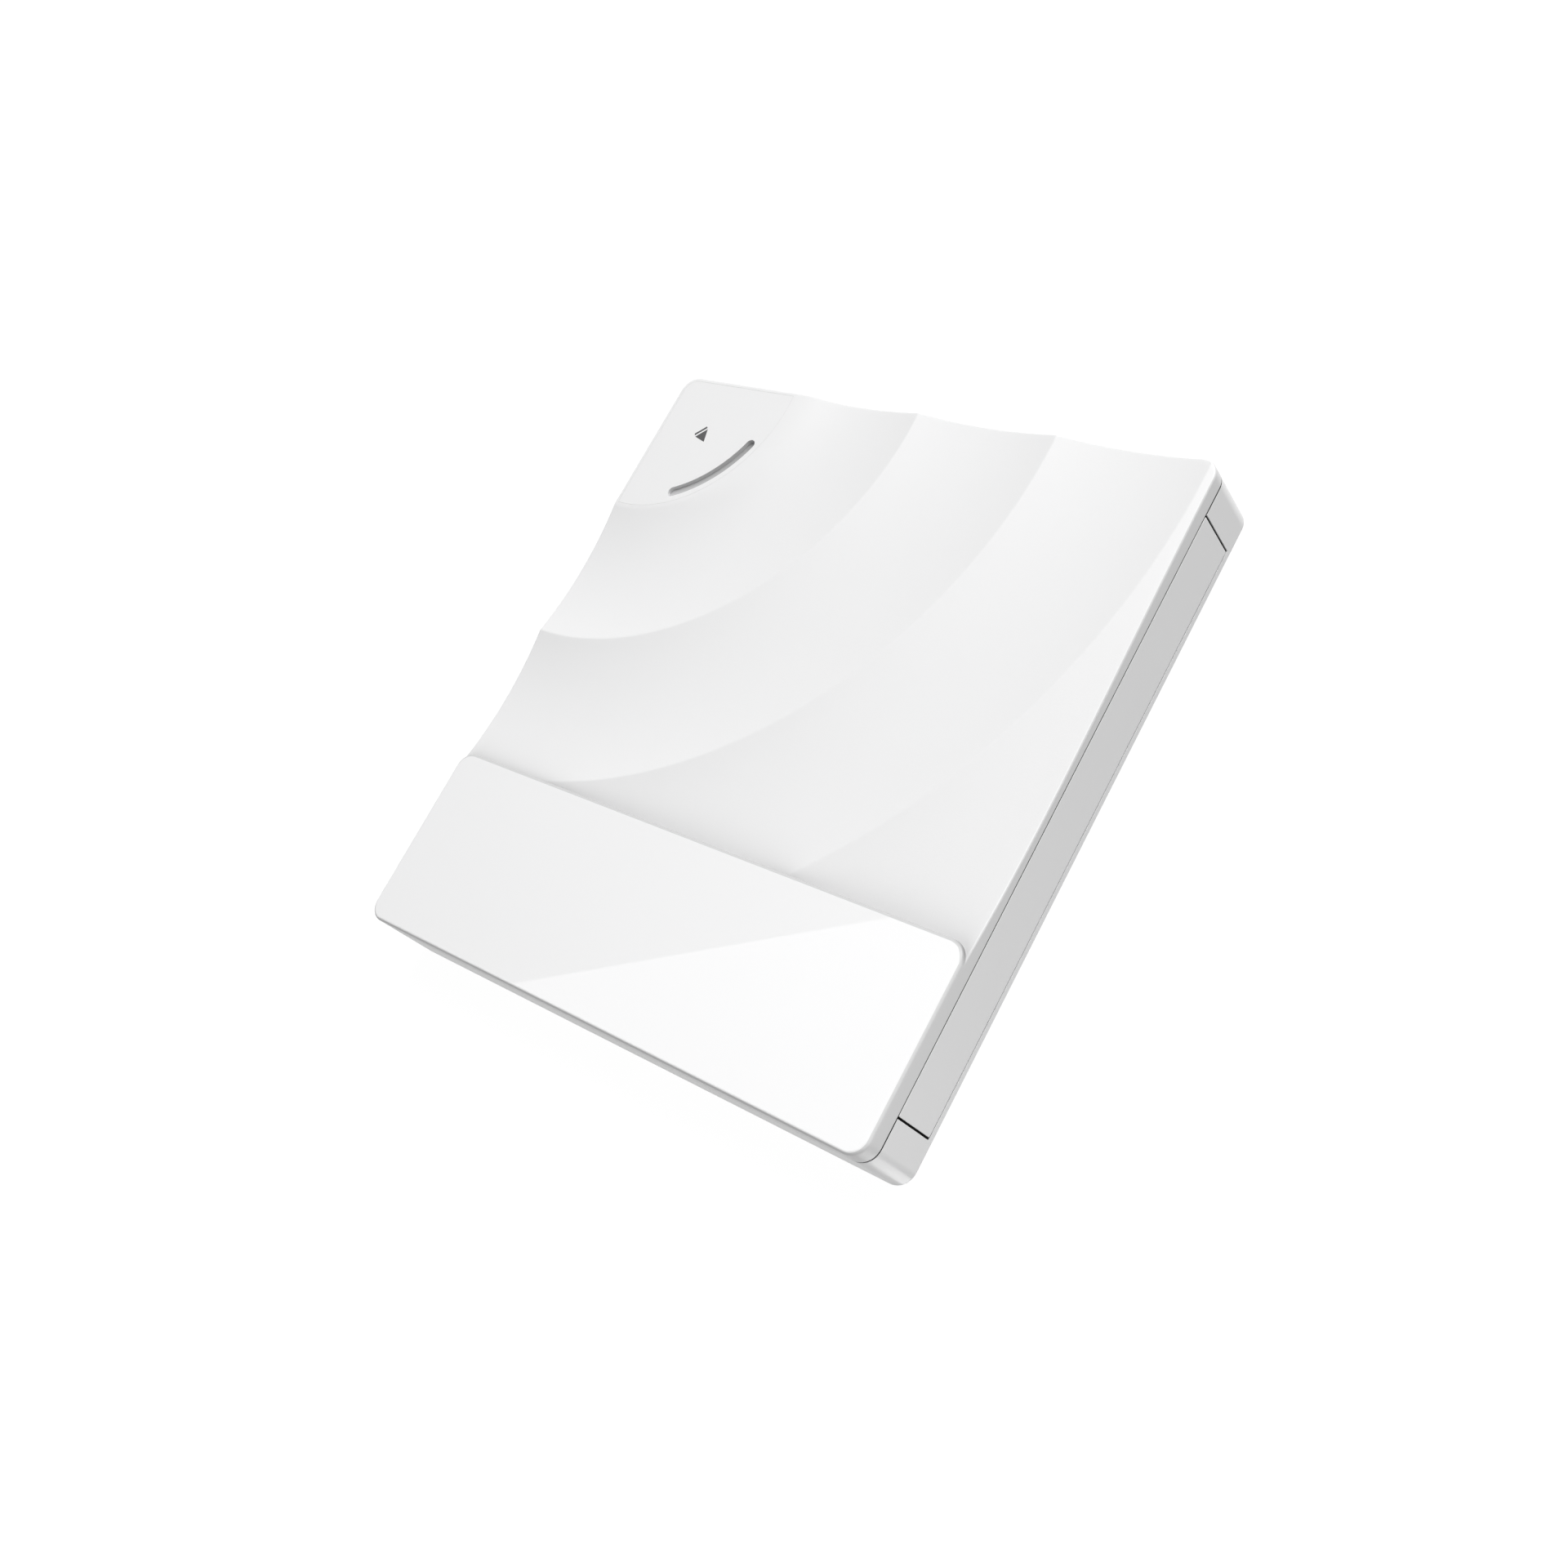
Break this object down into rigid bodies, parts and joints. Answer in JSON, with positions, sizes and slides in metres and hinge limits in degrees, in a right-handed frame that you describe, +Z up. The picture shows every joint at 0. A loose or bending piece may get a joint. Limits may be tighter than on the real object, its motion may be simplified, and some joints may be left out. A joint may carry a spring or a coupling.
{
  "type": "external dvd drive",
  "caption": "Slim square external disc drive: rippled white cover, raised glossy side panel, corner eject key with a curved light slot, and a sliding front tray with spindle and pickup.",
  "frame": {"origin": "on the table plane under the middle of the case outline", "axes": "+Z up, the tray opens towards -Y, +X to the right of someone facing the tray front"},
  "size_m": [0.149, 0.1452, 0.02],
  "materials": {
    "bottom_case": "satin light grey",
    "top_cover": "fine grained matt white",
    "gloss_panel": "polished white",
    "rubber_feet": "matt",
    "case_screws": "zinc plated",
    "bridge_board": "green circuit board",
    "bridge_chips": "moulded black",
    "usb_shell": "bright sheet",
    "usb_tongue": "black",
    "sata_socket": "black",
    "key_board": "green circuit board",
    "tact_switch": "black",
    "status_led": "clear",
    "key_ribbon": "flat cable",
    "drive_pan": "galvanised sheet",
    "drive_lid": "galvanised sheet",
    "lid_screws": "black zinc",
    "left_guide": "black",
    "right_guide": "black",
    "latch_post": "turned",
    "interface_board": "green circuit board",
    "sata_plug": "black",
    "drive_flex": "amber flat cable",
    "kick_pin": "turned",
    "eject_key": "fine grained matt white",
    "light_bar": "frosted grey",
    "switch_plunger": "black",
    "tray": "black",
    "tray_bezel": "satin light grey",
    "tray_plate": "sheet",
    "main_board": "green circuit board",
    "main_chips": "moulded black",
    "latch_solenoid": "copper winding",
    "unit_frame": "pressed sheet",
    "dampers": "matt",
    "damper_screws": "black zinc",
    "guide_rods": "ground",
    "stepper_motor": "can",
    "spindle_base": "pressed",
    "stator": "copper windings",
    "left_rail": "sheet",
    "right_rail": "sheet",
    "spindle_shaft": "ground",
    "rotor_cup": "drawn cup",
    "turntable": "black",
    "turntable_ring": "matt",
    "clamp_hub": "light grey",
    "claw_a": "natural",
    "claw_b": "natural",
    "claw_c": "natural",
    "pickup_sled": "filled black",
    "rack_follower": "natural acetal",
    "lens_holder": "black",
    "objective_lens": "coated",
    "lead_screw": "rolled",
    "latch_lever": "natural acetal"
  },
  "bodies": {
    "case": {"bottom_case": "bottom_case", "top_cover": "top_cover", "gloss_panel": "gloss_panel", "rubber_feet": "rubber_feet", "case_screws": "case_screws", "bridge_board": "bridge_board", "bridge_chips": "bridge_chips", "usb_shell": "usb_shell", "usb_tongue": "usb_tongue", "sata_socket": "sata_socket", "key_board": "key_board", "tact_switch": "tact_switch", "status_led": "status_led", "key_ribbon": "key_ribbon", "drive_pan": "drive_pan", "drive_lid": "drive_lid", "lid_screws": "lid_screws", "left_guide": "left_guide", "right_guide": "right_guide", "latch_post": "latch_post", "interface_board": "interface_board", "sata_plug": "sata_plug", "drive_flex": "drive_flex", "kick_pin": "kick_pin"},
    "eject_key": {"eject_key": "eject_key", "light_bar": "light_bar", "switch_plunger": "switch_plunger"},
    "tray": {"tray": "tray", "tray_bezel": "tray_bezel", "tray_plate": "tray_plate", "main_board": "main_board", "main_chips": "main_chips", "latch_solenoid": "latch_solenoid", "unit_frame": "unit_frame", "dampers": "dampers", "damper_screws": "damper_screws", "guide_rods": "guide_rods", "stepper_motor": "stepper_motor", "spindle_base": "spindle_base", "stator": "stator"},
    "left_rail": {"left_rail": "left_rail"},
    "right_rail": {"right_rail": "right_rail"},
    "spindle": {"spindle_shaft": "spindle_shaft", "rotor_cup": "rotor_cup", "turntable": "turntable", "turntable_ring": "turntable_ring", "clamp_hub": "clamp_hub"},
    "claw_a": {"claw_a": "claw_a"},
    "claw_b": {"claw_b": "claw_b"},
    "claw_c": {"claw_c": "claw_c"},
    "sled": {"pickup_sled": "pickup_sled", "rack_follower": "rack_follower"},
    "lens": {"lens_holder": "lens_holder", "objective_lens": "objective_lens"},
    "lead_screw": {"lead_screw": "lead_screw"},
    "latch_lever": {"latch_lever": "latch_lever"}
  },
  "joints": [
    {"name": "tray_slide", "type": "slide", "parent": "case", "child": "tray", "axis": [0, -1, 0], "range_m": [0, 0.127]},
    {"name": "left_rail_slide", "type": "slide", "parent": "case", "child": "left_rail", "axis": [0, -1, 0], "range_m": [0, 0.0635]},
    {"name": "right_rail_slide", "type": "slide", "parent": "case", "child": "right_rail", "axis": [0, -1, 0], "range_m": [0, 0.0635]},
    {"name": "spindle_spin", "type": "hinge", "parent": "tray", "child": "spindle", "pos_m": [0, -0.0065, 0.0108], "axis": [0, 0, 1], "continuous": true},
    {"name": "claw_a_press", "type": "slide", "parent": "spindle", "child": "claw_a", "axis": [0.7071, 0.7071, 0], "range_m": [0, 0.0006], "stiffness_N_per_m": 300},
    {"name": "claw_b_press", "type": "slide", "parent": "spindle", "child": "claw_b", "axis": [-0.9659, 0.2588, 0], "range_m": [0, 0.0006], "stiffness_N_per_m": 300},
    {"name": "claw_c_press", "type": "slide", "parent": "spindle", "child": "claw_c", "axis": [0.2588, -0.9659, 0], "range_m": [0, 0.0006], "stiffness_N_per_m": 300},
    {"name": "sled_slide", "type": "slide", "parent": "tray", "child": "sled", "axis": [-0.7071, -0.7071, 0], "range_m": [0, 0.035]},
    {"name": "lens_focus", "type": "slide", "parent": "sled", "child": "lens", "axis": [0, 0, 1], "range_m": [-0.0003, 0.0003], "stiffness_N_per_m": 60},
    {"name": "lead_screw_spin", "type": "hinge", "parent": "tray", "child": "lead_screw", "pos_m": [0.00035, -0.03514, 0.00685], "axis": [-0.7071, -0.7071, 0], "range_deg": [0, 4200]},
    {"name": "latch_turn", "type": "hinge", "parent": "tray", "child": "latch_lever", "pos_m": [-0.051, 0.034, 0.006], "axis": [0, 0, 1], "range_deg": [-6, 0]},
    {"name": "key_press", "type": "slide", "parent": "case", "child": "eject_key", "axis": [0, 0, -1], "range_m": [0, 0.0005], "stiffness_N_per_m": 3000}
  ],
  "couplings": [
    {"joint": "left_rail_slide", "follows": "tray_slide", "ratio": 0.5},
    {"joint": "right_rail_slide", "follows": "tray_slide", "ratio": 0.5},
    {"joint": "lead_screw_spin", "follows": "sled_slide", "rad_per_m": 2094.4}
  ]
}
